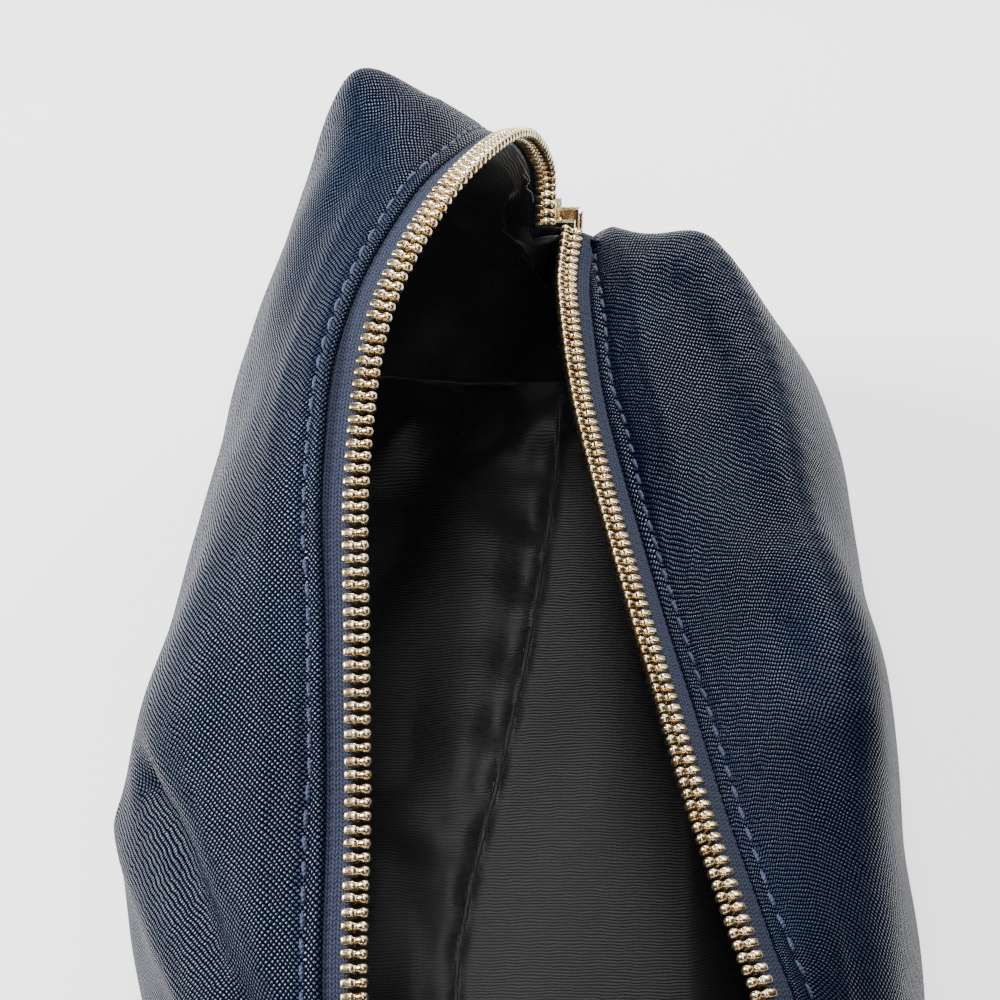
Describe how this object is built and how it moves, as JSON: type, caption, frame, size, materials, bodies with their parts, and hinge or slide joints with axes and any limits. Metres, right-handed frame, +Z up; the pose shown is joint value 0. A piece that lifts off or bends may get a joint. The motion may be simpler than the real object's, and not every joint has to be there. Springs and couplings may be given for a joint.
{
  "type": "zip top deposit bag",
  "caption": "Soft navy leather zip bag for carrying cash, boxy with curved sides, its zip undone and its lined mouth standing open.",
  "frame": {"origin": "centre of the base on the surface the bag stands on", "axes": "+X to the right side panel, +Y to the end with the zip slider, +Z up"},
  "size_m": [0.1359, 0.2312, 0.124],
  "materials": {
    "navy_leather": "cross-hatch embossed, semi-gloss",
    "dark_leather": "smooth, semi-gloss",
    "black_lining": "fine ribbed satin",
    "navy_tape": "woven zip tape",
    "navy_thread": "twisted thread",
    "gold_metal": "polished pale gold plate",
    "board": "plain stiffener board"
  },
  "bodies": {
    "bag": {"left_panel": "navy_leather", "right_panel": "navy_leather", "base_panel": "navy_leather", "base_board": "board", "left_lining": "black_lining", "right_lining": "black_lining", "floor_lining": "black_lining", "floor_seam": "black_lining", "left_topstitch": "navy_thread", "right_topstitch": "navy_thread", "bottom_stop": "gold_metal", "slider_body": "gold_metal", "slider_bridge": "gold_metal"},
    "left_rim": {"left_tape": "navy_tape", "left_teeth": "gold_metal", "left_top_stop": "gold_metal"},
    "right_rim": {"right_tape": "navy_tape", "right_teeth": "gold_metal", "right_top_stop": "gold_metal"},
    "link": {"pull_link": "gold_metal"},
    "pull": {"leather_pull": "dark_leather", "pull_stitch": "navy_thread"}
  },
  "joints": [
    {"name": "left_mouth_swing", "type": "hinge", "parent": "bag", "child": "left_rim", "pos_m": [0.0112, 0, 0.05], "axis": [0, 1, 0], "range_deg": [0, 14]},
    {"name": "right_mouth_swing", "type": "hinge", "parent": "bag", "child": "right_rim", "pos_m": [0.0112, 0, 0.05], "axis": [0, -1, 0], "range_deg": [0, 16]},
    {"name": "link_swing", "type": "hinge", "parent": "bag", "child": "link", "pos_m": [0.0112, 0.11482, 0.04597], "axis": [1, 0, 0], "range_deg": [0, 120]},
    {"name": "pull_swing", "type": "hinge", "parent": "link", "child": "pull", "pos_m": [0.0112, 0.11482, 0.03857], "axis": [1, 0, 0], "range_deg": [0, 45]}
  ]
}
